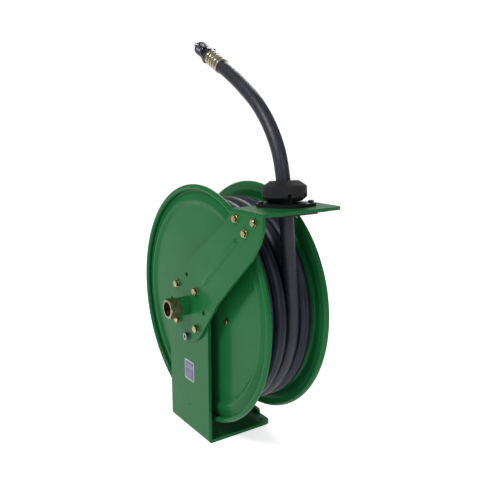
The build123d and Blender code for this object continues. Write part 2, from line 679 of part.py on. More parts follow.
# --- hose ---------------------------------------------------------------------------------------
def in_lane(angle):
    """A point on the outermost turn in the run's lane; angle 0 is the front, 90 the top."""
    a = radians(angle)
    return (TOP_LAYER_R * cos(a), RUN_LANE_Y, AXIS_Z + TOP_LAYER_R * sin(a))


def make_hose_run():
    """Last turn of the hose round the pack, then up through the guide into the stop."""
    tail = 31.0
    arcs = []
    steps = 3
    span = (360.0 - tail) / steps
    for i in range(steps):
        a = tail + i * span
        arcs.append(ThreePointArc(in_lane(a), in_lane(a + span / 2), in_lane(a + span)))
    front = in_lane(0)
    leave = (front[0], front[1], front[2] + 26)
    knee = (stop_axis_x(412), 0, 412)
    end = (HOSE_ROUTE[0][0], 0, HOSE_ROUTE[0][1])
    up = FilletPolyline(front, leave, knee, end, radius=[160, 130])
    path = Wire(list(arcs[0].edges()) + list(arcs[1].edges()) + list(arcs[2].edges()) + list(up.edges()))
    start = Plane(origin=path @ 0, z_dir=path % 0)
    return sweep(start * Circle(HOSE_R), path=path)


def route_radii(points):
    """Arc radius at each inner point: 0.45 of the shorter run over the tangent of half the turn."""
    radii = []
    for a, b, c in zip(points, points[1:], points[2:]):
        run_in, run_out = Vector(b) - Vector(a), Vector(c) - Vector(b)
        half = radians(run_in.get_angle(run_out)) / 2
        radii.append(0.45 * min(run_in.length, run_out.length) / tan(half))
    return radii


def make_free_hose():
    points = [(x, 0, z) for x, z in HOSE_ROUTE]
    radii = route_radii(points)
    print("free hose radii", [round(r) for r in radii])
    path = FilletPolyline(*points, radius=radii)
    tube = sweep(Plane(origin=path @ 0, z_dir=path % 0) * Circle(HOSE_R), path=path)
    print("free hose length", round(path.length, 1), "volume ratio",
          round(tube.volume / (pi * HOSE_R ** 2 * path.length), 4))
    return tube


# --- coupler on the hose end --------------------------------------------------------------------
END = Vector(HOSE_ROUTE[-1][0], 0, HOSE_ROUTE[-1][1])
BEFORE = Vector(HOSE_ROUTE[-2][0], 0, HOSE_ROUTE[-2][1])
END_PLANE = Plane(origin=END, x_dir=(0, 1, 0), z_dir=END - BEFORE)

FERRULE_R = 13.4
FERRULE_L = 42.0
HEX_L = 10.0
BODY_R = 9.6
NOSE = 84.0               # front face of the coupler, from the hose end
SOCKET_R = 5.6
COUPLER_SLEEVE = (57.5, 81.0)
SLEEVE_TRAVEL = 3.5
BALL_R = 1.75
BALL_T = 75.0
BALL_OUT = 7.4


def lathe(points):
    """Turned piece on the hose end's axis, from (distance, radius) points."""
    profile = make_face(Polyline(*[(r, 0, t) for t, r in points], close=True))
    return END_PLANE.location * revolve(profile, Axis.Z)


def hollow(t0, t1, outer, inner):
    """Tube on the hose end's axis."""
    return lathe([(t0, inner), (t0, outer), (t1, outer), (t1, inner)])


def make_ferrule():
    top = [(0, FERRULE_R - 0.8), (1.0, FERRULE_R)]
    for i in range(4):
        t = 6.5 + 8.0 * i
        groove = FERRULE_R - 0.9
        top += [(t, FERRULE_R), (t + 1.0, groove), (t + 3.4, groove), (t + 4.4, FERRULE_R)]
    top += [(FERRULE_L - 1.4, FERRULE_R), (FERRULE_L, FERRULE_R - 1.4)]
    inside = [(FERRULE_L, 8.6), (36.5, 8.6), (36.5, HOSE_R + 0.05), (0, HOSE_R + 0.05)]
    return lathe(top + inside)


def make_hose_end():
    return hollow(0.05, 36.3, HOSE_R, 6.45)


def make_hose_stem():
    """Barbed stem inside the hose, with a collar behind the ferrule and a screwed tail."""
    outline = [(2, 4.4), (2, 5.6)]
    for i in range(5):
        t = 5 + 6 * i
        outline += [(t, 6.4), (t + 0.6, 5.7)]
    collar = FERRULE_L + 0.3
    outline += [(36.4, 5.7), (36.6, 8.5), (collar, 8.5), (collar, 6.4), (50, 6.4), (50, 4.4)]
    return lathe(outline)


def make_coupler_adapter():
    """Black hexagon that joins the stem to the coupler body."""
    t0, t1 = FERRULE_L + 0.5, FERRULE_L + 0.5 + HEX_L
    six = END_PLANE.location * Pos(0, 0, t0) * extrude(RegularPolygon(13.5, 6, major_radius=False), HEX_L)
    six &= lathe([(t0, 0), (t0, 13.6), (t0 + 1.6, 15.6), (t1 - 1.6, 15.6), (t1, 13.6), (t1, 0)])
    body = six + hollow(t1 - 1, t1 + 3, 7.4, 5.0)
    bore = [(t0 - 1, 0), (t0 - 1, 6.45), (50.05, 6.45), (50.05, 5.0), (t1 + 4, 5.0), (t1 + 4, 0)]
    return body - lathe(bore)


def make_coupler_body():
    """Socket body: thread end, valve chamber, seal groove, ball holes and nose."""
    t0 = FERRULE_L + 0.6 + HEX_L
    outside = [(t0, 7.45), (t0, BODY_R), (60, BODY_R), (60, 8.6), (NOSE - 4.6, 8.6), (NOSE - 4.6, 7.7),
               (NOSE - 3.2, 7.7), (NOSE - 3.2, 8.6), (NOSE - 0.8, 8.6), (NOSE, 7.8)]
    inside = [(NOSE, SOCKET_R + 0.4), (NOSE - 0.6, SOCKET_R), (70.5, SOCKET_R), (70.5, 7.0), (68.3, 7.0),
              (68.3, SOCKET_R), (67.2, SOCKET_R), (67.2, 5.0), (65.8, 5.0), (65.0, 6.6), (57.5, 6.6),
              (57.5, 7.45)]
    body = lathe(outside + inside)
    for i in range(4):
        turn = END_PLANE.location * Rot(0, 0, 90 * i) * Pos(BALL_OUT - 2.5, 0, BALL_T) * Rot(0, 90, 0)
        body -= turn * Pos(0, 0, 2.5) * Cylinder(BALL_R + 0.05, 5)
    return body


def make_lock_balls():
    place = Pos(BALL_OUT + 0.05, 0, BALL_T)
    return group(END_PLANE.location * Rot(0, 0, 90 * i) * place * Sphere(BALL_R) for i in range(4))


def make_coupler_sleeve():
    """Knurled release sleeve that slides back over the body."""
    a, b = COUPLER_SLEEVE
    rows = [(a, 9.75), (a, 11.4), (a + 1, 12.2), (a + 4, 12.2), (a + 5, 11.5), (b - 6, 11.5), (b - 5, 12.2),
            (b - 1, 12.2), (b, 11.4), (b, 9.4), (b - 3.4, 9.4), (b - 3.4, 9.3), (72.2, 9.3), (72.2, 9.75)]
    sleeve = lathe(rows)
    groove = Pos(12.2, 0, (a + b) / 2) * Box(2.2, 1.4, b - a - 12)
    for i in range(18):
        sleeve -= END_PLANE.location * Rot(0, 0, 20 * i) * groove
    return sleeve


def end_helix(radius, wire, t0, t1, pitch):
    """Coil spring on the hose end's axis."""
    coil = Helix(pitch, t1 - t0 - 2 * wire, radius)
    start = Plane(origin=coil @ 0, z_dir=coil % 0)
    spring = sweep(start * Circle(wire), path=coil, is_frenet=True)
    return END_PLANE.location * Pos(0, 0, t0 + wire) * spring


def make_coupler_valve():
    """Poppet that closes the bore; a plug pushes it back off its seat."""
    return lathe([(61.0, 0), (61.0, 3.2), (63.4, 3.2), (63.4, 6.2), (64.8, 6.2), (65.6, 4.7), (67.4, 4.7),
                  (67.4, 0)])


def make_coupler_seal():
    flat = make_face(Polyline((5.65, 0, 68.5), (6.9, 0, 68.5), (6.9, 0, 70.3), (5.65, 0, 70.3), close=True))
    return END_PLANE.location * revolve(flat, Axis.Z)


def make_sleeve_clip():
    gap = END_PLANE.location * Pos(-9, 0, NOSE - 4) * Box(6, 2, 4)
    return hollow(NOSE - 4.5, NOSE - 3.3, 9.2, 7.7) - gap


def make_plug():
    """Closing plug in the coupler's mouth, with a knob to pull it by."""
    tip = [(71.2, 0), (71.2, 4.4), (72.0, 5.3), (NOSE + 0.6, 5.3)]
    knob = [(NOSE + 0.6, 6.6), (NOSE + 2.2, 6.6), (NOSE + 3.0, 3.6), (NOSE + 6.0, 3.2), (NOSE + 7.6, 4.6),
            (NOSE + 11.0, 4.9), (NOSE + 12.8, 3.8), (NOSE + 13.4, 0)]
    return lathe(tip + knob)


# --- write every node ---------------------------------------------------------------------------
NODES = {
    "pedestal": make_pedestal,
    "guide_arm": make_guide_arm,
    "outlet_bracket": make_outlet_bracket,
    "spindle": make_spindle,
    "shaft_sleeve": make_shaft_sleeve,
    "spindle_bolts": make_spindle_bolts,
    "bracket_bolts": make_bracket_bolts,
    "spindle_clip": make_spindle_clip,
    "label_plate": make_label_plate,
    "near_disc": lambda: make_disc(-1),
    "far_disc": lambda: make_disc(1),
    "drum_core": make_drum_core,
    "near_disc_bolts": lambda: make_disc_bolts(-1),
    "far_disc_bolts": lambda: make_disc_bolts(1),
    "near_hub": make_near_hub,
    "near_bush": lambda: make_bush(RATCHET_Y[0], -41),
    "far_bush": lambda: make_bush(CUP_Y[1], SPINDLE_END - 4),
    "spring_cup": make_spring_cup,
    "spring_cover": make_spring_cover,
    "power_spring": make_power_spring,
    "ratchet_ring": make_ratchet_ring,
    "fluid_tube": make_fluid_tube,
    "outlet_elbow": make_outlet_elbow,
    "inner_hose": make_inner_hose,
    "far_cap": make_far_cap,
    "hose_pack": make_hose_pack,
    "pawl": make_pawl,
    "pawl_pin": make_pawl_pin,
    "pawl_spring": make_pawl_spring,
    "inlet_swivel": make_inlet_swivel,
    "swivel_seals": make_swivel_seals,
    "swivel_clip": make_swivel_clip,
    "guide_housing": make_guide_housing,
    "guide_ring": make_guide_ring,
    "guide_screws": make_guide_screws,
    "roller_rear": lambda: make_roller("y", -1),
    "roller_front": lambda: make_roller("y", 1),
    "roller_near": lambda: make_roller("x", -1),
    "roller_far": lambda: make_roller("x", 1),
    "roller_pins": make_roller_pins,
    "stop_front": lambda: make_stop_half(1),
    "stop_rear": lambda: make_stop_half(-1),
    "stop_screws": make_stop_screws,
    "hose_run": make_hose_run,
    "free_hose": make_free_hose,
    "ferrule": make_ferrule,
    "hose_end": make_hose_end,
    "hose_stem": make_hose_stem,
    "coupler_adapter": make_coupler_adapter,
    "coupler_body": make_coupler_body,
    "coupler_sleeve": make_coupler_sleeve,
    "sleeve_spring": lambda: end_helix(9.2, 0.4, 60.6, 68.2, 1.9),
    "sleeve_clip": make_sleeve_clip,
    "lock_balls": make_lock_balls,
    "coupler_valve": make_coupler_valve,
    "valve_spring": lambda: end_helix(4.6, 0.45, 55.8, 60.8, 1.5),
    "coupler_seal": make_coupler_seal,
    "plug": make_plug,
}

for node, make in NODES.items():
    save(node, make())
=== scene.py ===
from math import acos, atan2, cos, degrees, hypot, pi, radians, sin, tan

import bmesh
import bpy
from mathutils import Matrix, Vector
from mathutils.geometry import tessellate_polygon


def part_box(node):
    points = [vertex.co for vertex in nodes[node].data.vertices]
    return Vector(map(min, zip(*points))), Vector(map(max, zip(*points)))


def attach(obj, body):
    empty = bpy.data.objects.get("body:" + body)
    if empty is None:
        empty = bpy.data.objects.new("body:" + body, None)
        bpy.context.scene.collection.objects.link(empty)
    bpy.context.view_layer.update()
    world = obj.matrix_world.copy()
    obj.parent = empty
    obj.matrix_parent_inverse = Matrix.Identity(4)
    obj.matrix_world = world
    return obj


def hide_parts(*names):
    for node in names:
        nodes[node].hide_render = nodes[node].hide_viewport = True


# A spring-rewind hose reel with a quick disconnect coupler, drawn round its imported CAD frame. Metres.
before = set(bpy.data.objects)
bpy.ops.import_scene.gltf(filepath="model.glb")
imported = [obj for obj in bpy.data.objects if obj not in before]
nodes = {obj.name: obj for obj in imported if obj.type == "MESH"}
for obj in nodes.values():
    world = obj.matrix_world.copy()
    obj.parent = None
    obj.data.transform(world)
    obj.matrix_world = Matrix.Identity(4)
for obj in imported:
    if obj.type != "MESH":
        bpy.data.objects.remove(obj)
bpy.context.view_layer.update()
MM = 0.001

# --- places and sizes read from the frame --------------------------------------------------------
DISC_LOW, DISC_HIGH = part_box("near_disc")
AXIS_Z = (DISC_LOW[2] + DISC_HIGH[2]) / 2
DISC_R = (DISC_HIGH[2] - DISC_LOW[2]) / 2
RIM_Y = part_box("far_disc")[1][1]
PANEL_LOW, PANEL_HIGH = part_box("pedestal")
ARM_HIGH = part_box("guide_arm")[1]
BRACKET_LOW, BRACKET_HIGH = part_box("outlet_bracket")
PACK_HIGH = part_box("hose_pack")[1]
INLET_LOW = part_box("inlet_swivel")[0]
GUIDE_LOW, GUIDE_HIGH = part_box("guide_housing")

HOSE_R = 11.25 * MM
HUB_R = 62.2 * MM
PANEL_Y = PANEL_LOW[1]
PANEL_T = 6 * MM
ARM_Y = PANEL_Y - 5 * MM
ARM_T = 5 * MM
ARM_LEFT = 138.5 * MM
ARM_RIGHT = ARM_HIGH[0]
GUIDE_X = (GUIDE_LOW[0] + GUIDE_HIGH[0]) / 2
GUIDE_HOLE_R = 28.4 * MM
BRACKET_BOLTS = [(153.5, 173.1), (201.5, 173.1), (178.0, 153.9)]
SPINDLE_HOLE_R = 16.6 * MM
SPINDLE_BOLTS_AT = 33 * MM      # from the axis, across and up
PAWL_HOLES_R = 56 * MM          # circle of the four pawl holes
FOOT_HOLE_X = 47 * MM
FOOT_HOLE_Y = 44 * MM
DISC_BOLTS_R = 84 * MM          # circle of the disc bolts
DISC_BORE_R = 30 * MM
PLATE_Y = RIM_Y - 9 * MM
SHEET = 1.8 * MM
LANE = 25.6 * MM                # from turn to turn along the drum
LAYER = 23.1 * MM               # from layer to layer
TOP_LAYER_R = PACK_HIGH[0] - HOSE_R


# --- small geometry tools ------------------------------------------------------------------------
def link(obj):
    bpy.context.scene.collection.objects.link(obj)
    return obj


def finish_piece(obj, body, material, replaces=()):
    """Material and body for a new piece; hides the CAD parts it replaces."""
    obj.data.materials.append(material)
    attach(obj, body)
    if replaces:
        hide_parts(*replaces)
    return obj


def soften(obj, width, segments=2, angle=32):
    """Rounded edges that catch the light."""
    bevel = obj.modifiers.new("edge", "BEVEL")
    bevel.width = width
    bevel.segments = segments
    bevel.limit_method = "ANGLE"
    bevel.angle_limit = radians(angle)
    bevel.harden_normals = False
    flat = obj.modifiers.new("flat_faces", "WEIGHTED_NORMAL")
    flat.keep_sharp = True
    return obj


def shade(mesh, sharp=35):
    """Smooth shading with edges over this angle kept sharp."""
    bm = bmesh.new()
    bm.from_mesh(mesh)
    bmesh.ops.remove_doubles(bm, verts=bm.verts, dist=1e-6)
    bmesh.ops.dissolve_degenerate(bm, dist=1e-7, edges=bm.edges)
    bmesh.ops.recalc_face_normals(bm, faces=bm.faces)
    for face in bm.faces:
        face.smooth = True
    for edge in bm.edges:
        if len(edge.link_faces) == 2:
            edge.smooth = edge.calc_face_angle(0) < radians(sharp)
    bm.to_mesh(mesh)
    bm.free()
    mesh.update()


def mesh_object(name, verts, faces, sharp=35):
    mesh = bpy.data.meshes.new(name)
    mesh.from_pydata([tuple(v) for v in verts], [], faces)
    shade(mesh, sharp)
    return link(bpy.data.objects.new(name, mesh))


def join_meshes(name, parts):
    """One object from several lists of (verts, faces)."""
    verts, faces = [], []
    for part_verts, part_faces in parts:
        base = len(verts)
        verts += list(part_verts)
        faces += [tuple(base + i for i in f) for f in part_faces]
    return mesh_object(name, verts, faces)


def basis(axis):
    """Two unit vectors square to axis."""
    w = Vector(axis).normalized()
    side = Vector((0, 0, 1)) if abs(w.z) < 0.9 else Vector((1, 0, 0))
    u = side.cross(w).normalized()
    return u, w.cross(u), w


def rounded(points, radius, steps=4, closed=False):
    """Points of a 2D path with its corners rounded. radius is one number or one for each point."""
    count = len(points)
    out = []
    for i, p in enumerate(points):
        r = radius[i] if isinstance(radius, (list, tuple)) else radius
        if r == 0 or (not closed and i in (0, count - 1)):
            out.append(p)
            continue
        a, b = points[i - 1], points[(i + 1) % count]
        to_a = Vector((a[0] - p[0], a[1] - p[1]))
        to_b = Vector((b[0] - p[0], b[1] - p[1]))
        if to_a.length < 1e-9 or to_b.length < 1e-9:
            continue
        half = to_a.angle(to_b) / 2
        if half > pi / 2 - 0.01:
            out.append(p)
            continue
        back = min(r / tan(half), 0.49 * to_a.length, 0.49 * to_b.length)
        start = Vector(p) + to_a.normalized() * back
        end = Vector(p) + to_b.normalized() * back
        for k in range(steps + 1):
            t = k / steps
            q = start * (1 - t) ** 2 + Vector(p) * 2 * t * (1 - t) + end * t * t
            out.append((q.x, q.y))
    return out


def turned(profile, origin, axis, steps=96, wave=None, closed=True):
    """Verts and faces of a turned shape, from (distance, radius) points. wave(t, angle, r) may change r."""
    u, v, w = basis(axis)
    origin = Vector(origin)
    verts, faces, rows = [], [], []
    for t, r in profile:
        row = []
        if r < 1e-7:
            row = [len(verts)] * steps
            verts.append(origin + w * t)
        else:
            for k in range(steps):
                a = 2 * pi * k / steps
                radius = wave(t, a, r) if wave else r
                row.append(len(verts))
                verts.append(origin + w * t + (u * cos(a) + v * sin(a)) * radius)
        rows.append(row)
    pairs = list(zip(rows, rows[1:]))
    if closed:
        pairs.append((rows[-1], rows[0]))
    for low, high in pairs:
        for k in range(steps):
            n = (k + 1) % steps
            quad = [low[k], low[n], high[n], high[k]]
            quad = [x for i, x in enumerate(quad) if x not in quad[:i]]
            if len(quad) > 2:
                faces.append(tuple(quad))
    return verts, faces


def hexagon_head(origin, axis, across, height, steps=72, lead=0.0):
    """Hexagon bolt head or nut with the turned chamfer on its outer face."""
    u, v, w = basis(axis)
    origin = Vector(origin)
    flat = across / 2
    ring = flat * 0.93
    verts, faces = [], []

    def radius(a):
        return flat / cos((a % (pi / 3)) - pi / 6)

    levels = [[], [], []]
    for k in range(steps):
        a = 2 * pi * k / steps
        direction = u * cos(a + lead) + v * sin(a + lead)
        r = radius(a)
        drop = (r - ring) * tan(radians(30)) * 1.3
        for level, (rr, h) in enumerate([(r, 0.0), (r, height - drop), (ring, height)]):
            levels[level].append(len(verts))
            verts.append(origin + w * h + direction * rr)
    centre_low, centre_high = len(verts), len(verts) + 1
    verts += [origin, origin + w * height]
    for k in range(steps):
        n = (k + 1) % steps
        faces.append((levels[0][k], levels[0][n], levels[1][n], levels[1][k]))
        faces.append((levels[1][k], levels[1][n], levels[2][n], levels[2][k]))
        faces.append((centre_low, levels[0][n], levels[0][k]))
        faces.append((centre_high, levels[2][k], levels[2][n]))
    return verts, faces


def bolt_parts(x, z, face_y, side=-1, across=11.8 * MM, height=4.8 * MM, washer=7.0 * MM, turn=0.0):
    """Washer and hexagon head on a face across Y."""
    origin = Vector((x, face_y, z))
    axis = (0, side, 0)
    parts = []
    lift = 0.0
    if washer:
        lift = 1.5 * MM
        profile = rounded([(0, 0), (0, washer), (lift, washer), (lift, 0)], 0.25 * MM)
        parts.append(turned(profile, origin, axis, 48, closed=False))
    parts.append(hexagon_head(origin + Vector(axis) * lift, axis, across, height, lead=turn))
    return parts


def circle(x, z, r, count=32):
    return [(x + r * cos(2 * pi * k / count), z + r * sin(2 * pi * k / count)) for k in range(count)]


def flat_region(outline, holes, place):
    """Verts and faces of a flat region with holes; place maps 2D to 3D."""
    loops = [outline] + holes
    polys = [[Vector((p[0], p[1], 0)) for p in loop] for loop in loops]
    flat_points = [p for loop in loops for p in loop]
    return [place(*p) for p in flat_points], [tuple(t) for t in tessellate_polygon(polys)]


def thicken(obj, thickness, offset, even=False):
    solid = obj.modifiers.new("thickness", "SOLIDIFY")
    solid.thickness = thickness
    solid.offset = offset
    solid.use_even_offset = even


def sheet_metal(name, regions, thickness, edge=0.5 * MM):
    """Joined flat regions and bends, given thickness towards the inside."""
    obj = join_meshes(name, regions)
    thicken(obj, thickness, -1, even=True)
    soften(obj, edge)
    return obj


def bend_strip(x_values, centre, radius, start, end, steps=8):
    """Quarter bend along X: centre is (y, z), start and end are angles in the YZ plane."""
    verts, faces = [], []
    for i in range(steps + 1):
        a = radians(start + (end - start) * i / steps)
        for x in x_values:
            verts.append((x, centre[0] + radius * cos(a), centre[1] + radius * sin(a)))
    width = len(x_values)
    for i in range(steps):
        for j in range(width - 1):
            k = i * width + j
            faces.append((k, k + 1, k + width + 1, k + width))
    return verts, faces


def tube_curve(name, points, radius):
    """A NURBS curve with a round section; order_u and use_endpoint_u are set after its points."""
    data = bpy.data.curves.new(name, "CURVE")
    data.dimensions = "3D"
    spline = data.splines.new("NURBS")
    spline.points.add(len(points) - 1)
    for point, place in zip(spline.points, points):
        point.co = (*place, 1)
    spline.order_u = 3
    spline.use_endpoint_u = True
    spline.resolution_u = 12
    data.bevel_depth = radius
    data.bevel_resolution = 10
    data.use_fill_caps = True
    return link(bpy.data.objects.new(name, data))


# --- materials -----------------------------------------------------------------------------------
def base_material(name, colour, rough, metal=0.0, coat=0.0, specular=0.5):
    material = bpy.data.materials.new(name)
    material.use_nodes = True
    shader = material.node_tree.nodes["Principled BSDF"]
    shader.inputs["Base Color"].default_value = (*colour, 1)
    shader.inputs["Roughness"].default_value = rough
    shader.inputs["Metallic"].default_value = metal
    shader.inputs["Coat Weight"].default_value = coat
    shader.inputs["Coat Roughness"].default_value = 0.06
    shader.inputs["Specular IOR Level"].default_value = specular
    return material, material.node_tree, shader


def noise(tree, scale, detail=3.0, rough=0.5, stretch=(1, 1, 1)):
    """Noise in object space, the same scale on every piece."""
    place = tree.nodes.new("ShaderNodeTexCoord")
    mapping = tree.nodes.new("ShaderNodeMapping")
    mapping.inputs["Scale"].default_value = stretch
    texture = tree.nodes.new("ShaderNodeTexNoise")
    texture.inputs["Scale"].default_value = scale
    texture.inputs["Detail"].default_value = detail
    texture.inputs["Roughness"].default_value = rough
    tree.links.new(place.outputs["Object"], mapping.inputs["Vector"])
    tree.links.new(mapping.outputs["Vector"], texture.inputs["Vector"])
    return texture.outputs["Fac"]


def ramp(tree, source, stops):
    """Colour ramp from (position, colour) stops."""
    node = tree.nodes.new("ShaderNodeValToRGB")
    elements = node.color_ramp.elements
    while len(elements) < len(stops):
        elements.new(0.5)
    for element, (position, colour) in zip(elements, stops):
        element.position = position
        element.color = (*colour, 1)
    tree.links.new(source, node.inputs["Fac"])
    return node.outputs["Color"]


def vary_roughness(tree, shader, source, low, high):
    spread = tree.nodes.new("ShaderNodeMapRange")
    spread.inputs["From Min"].default_value = 0.3
    spread.inputs["From Max"].default_value = 0.7
    spread.inputs["To Min"].default_value = low
    spread.inputs["To Max"].default_value = high
    tree.links.new(source, spread.inputs["Value"])
    tree.links.new(spread.outputs["Result"], shader.inputs["Roughness"])


def bump(tree, shader, source, strength, depth):
    node = tree.nodes.new("ShaderNodeBump")
    node.inputs["Strength"].default_value = strength
    node.inputs["Distance"].default_value = depth
    tree.links.new(source, node.inputs["Height"])
    tree.links.new(node.outputs["Normal"], shader.inputs["Normal"])


def green_enamel():
    """Glossy sprayed enamel: orange peel, slight shade drift and a clear coat."""
    material, tree, shader = base_material("green_enamel", (0.007, 0.094, 0.025), 0.34, coat=0.12,
                                           specular=0.05)
    drift = noise(tree, 9, 3)
    colour = ramp(tree, drift, [(0.3, (0.006, 0.087, 0.022)), (0.7, (0.008, 0.103, 0.028))])
    tree.links.new(colour, shader.inputs["Base Color"])
    vary_roughness(tree, shader, noise(tree, 60, 4), 0.27, 0.38)
    bump(tree, shader, noise(tree, 420, 2), 0.18, 0.0004)
    return material


def hose_rubber():
    """Black rubber hose cover with a faint blue sheen painted into its colour in random patches, and a fine
    cloth-marked skin.
    """
    material, tree, shader = base_material("hose_cover", (0.009, 0.011, 0.017), 0.42, specular=0.3)
    blue_sheen = noise(tree, 35, 5, 0.6)
    # the lighter blue end of this ramp is painted sheen, laid in random patches
    colour = ramp(tree, blue_sheen, [(0.3, (0.007, 0.008, 0.012)), (0.75, (0.016, 0.020, 0.031))])
    tree.links.new(colour, shader.inputs["Base Color"])
    vary_roughness(tree, shader, noise(tree, 120, 4), 0.34, 0.52)
    bump(tree, shader, noise(tree, 1100, 2), 0.25, 0.0003)
    return material


def wound_rubber():
    """The same cover with painted sheen: light streaks that follow the turns round the drum, mixed with
    random tone.
    """
    material, tree, shader = base_material("wound_hose_cover", (0.010, 0.012, 0.018), 0.4, specular=0.15)
    place = tree.nodes.new("ShaderNodeTexCoord")
    split = tree.nodes.new("ShaderNodeSeparateXYZ")
    tree.links.new(place.outputs["Object"], split.inputs["Vector"])
    height = tree.nodes.new("ShaderNodeMath")
    height.operation = "SUBTRACT"
    height.inputs[1].default_value = AXIS_Z
    tree.links.new(split.outputs["Z"], height.inputs[0])
    across = tree.nodes.new("ShaderNodeCombineXYZ")
    tree.links.new(split.outputs["X"], across.inputs["X"])
    tree.links.new(height.outputs["Value"], across.inputs["Y"])
    radius = tree.nodes.new("ShaderNodeVectorMath")
    radius.operation = "LENGTH"
    tree.links.new(across.outputs["Vector"], radius.inputs[0])
    along = tree.nodes.new("ShaderNodeCombineXYZ")
    tree.links.new(radius.outputs["Value"], along.inputs["X"])
    tree.links.new(split.outputs["Y"], along.inputs["Y"])
    sheen_streak = tree.nodes.new("ShaderNodeTexNoise")
    sheen_streak.inputs["Scale"].default_value = 260
    sheen_streak.inputs["Detail"].default_value = 3
    tree.links.new(along.outputs["Vector"], sheen_streak.inputs["Vector"])
    blend = tree.nodes.new("ShaderNodeMath")
    blend.operation = "MULTIPLY_ADD"
    blend.inputs[1].default_value = 0.35
    tree.links.new(noise(tree, 28, 4), blend.inputs[0])
    tree.links.new(sheen_streak.outputs["Fac"], blend.inputs[2])
    # the light blue-grey end of these stops is painted sheen along the streaks; the dark end is the rubber's
    # own colour
    stops = [(0.45, (0.006, 0.006, 0.010)), (0.66, (0.010, 0.012, 0.019)), (0.86, (0.030, 0.035, 0.052))]
    tree.links.new(ramp(tree, blend.outputs["Value"], stops), shader.inputs["Base Color"])
    vary_roughness(tree, shader, sheen_streak.outputs["Fac"], 0.30, 0.46)
    bump(tree, shader, noise(tree, 1100, 2), 0.2, 0.0003)
    return material


def metal(name, colour, other, rough, scale=90, spread=0.08, grain=900):
    """Plated or machined metal with tone drift and fine grain."""
    material, tree, shader = base_material(name, colour, rough, metal=1.0)
    tone = noise(tree, scale, 4, 0.6)
    tree.links.new(ramp(tree, tone, [(0.3, colour), (0.7, other)]), shader.inputs["Base Color"])
    vary_roughness(tree, shader, noise(tree, scale * 2, 3), rough - spread, rough + spread)
    bump(tree, shader, noise(tree, grain, 2), 0.15, 0.0002)
    return material


def moulded(name, colour, rough, grain=1400, depth=0.0003, specular=0.5):
    """Moulded plastic or rubber with a fine spark-eroded grain."""
    material, tree, shader = base_material(name, colour, rough, specular=specular)
    light = tuple(c * 1.5 + 0.002 for c in colour)
    tone = ramp(tree, noise(tree, 40, 4), [(0.3, colour), (0.7, light)])
    tree.links.new(tone, shader.inputs["Base Color"])
    vary_roughness(tree, shader, noise(tree, 150, 3), rough - 0.07, rough + 0.07)
    bump(tree, shader, noise(tree, grain, 2), 0.3, depth)
    return material


GREEN = green_enamel()
HOSE = hose_rubber()
WOUND_HOSE = wound_rubber()
ZINC = metal("yellow_zinc", (0.22, 0.17, 0.075), (0.36, 0.30, 0.17), 0.2)
FERRULE = metal("ferrule_zinc", (0.24, 0.22, 0.15), (0.40, 0.37, 0.27), 0.22)
BRASS = metal("brass", (0.19, 0.145, 0.07), (0.28, 0.22, 0.12), 0.34)
# near-black metal: painted shade for the inside of the inlet bore
SHADED_THREAD = metal("thread_painted_shade", (0.006, 0.005, 0.003), (0.020, 0.015, 0.009), 0.45)
BRONZE = metal("bronze", (0.38, 0.23, 0.11), (0.46, 0.30, 0.16), 0.42)
STEEL = metal("steel", (0.42, 0.43, 0.45), (0.54, 0.55, 0.57), 0.32)
SPRING = metal("spring_steel", (0.16, 0.17, 0.20), (0.24, 0.25, 0.28), 0.35)
CHROME = metal("dark_chrome", (0.040, 0.040, 0.047), (0.085, 0.085, 0.095), 0.17, spread=0.05)
BLACK_STEEL = metal("black_oxide", (0.022, 0.022, 0.026), (0.045, 0.045, 0.050), 0.36)
PLASTIC = moulded("black_plastic", (0.005, 0.005, 0.006), 0.42, specular=0.18)
STOP = moulded("stop_rubber", (0.006, 0.006, 0.007), 0.5, 900, 0.0005, specular=0.18)
SEAL = moulded("seal_rubber", (0.012, 0.012, 0.012), 0.5)
ROLLER = moulded("roller_plastic", (0.03, 0.03, 0.033), 0.35)
LABEL_EDGE = moulded("label_border", (0.20, 0.23, 0.27), 0.45, 700, 0.0001)
LABEL_FIELD = moulded("label_field", (0.045, 0.025, 0.085), 0.4, 700, 0.0001)
LABEL_BAND = moulded("label_band", (0.095, 0.065, 0.15), 0.4, 700, 0.0001)


# --- camera, light and floor ---------------------------------------------------------------------
CAMERA_PLACE = (0.8830, -0.5683, 0.5461)
CAMERA_ELEVATION = 11.09        # degrees
CAMERA_AZIMUTH = 55.65
CAMERA_LENS = 44.36
SEEN_WORLD = 1.05               # strength of the white world as the background
LIT_WORLD = 0.42                # strength of the same world as light on the object
FLOOR_GLOW = 0.6


def make_camera():
    """Long view from the front right, a little above the reel."""
    data = bpy.data.cameras.new("camera")
    data.sensor_width = 36
    data.lens = CAMERA_LENS
    camera = link(bpy.data.objects.new("camera", data))
    camera.location = CAMERA_PLACE
    camera.rotation_euler = (radians(90 - CAMERA_ELEVATION), 0, radians(CAMERA_AZIMUTH))
    bpy.context.scene.camera = camera


def make_light(name, place, target, energy, size):
    data = bpy.data.lights.new(name, "AREA")
    data.energy = energy
    data.shape = "DISK"
    data.size = size
    lamp = link(bpy.data.objects.new(name, data))
    lamp.location = place
    lamp.rotation_euler = (Vector(target) - Vector(place)).to_track_quat("-Z", "Y").to_euler()


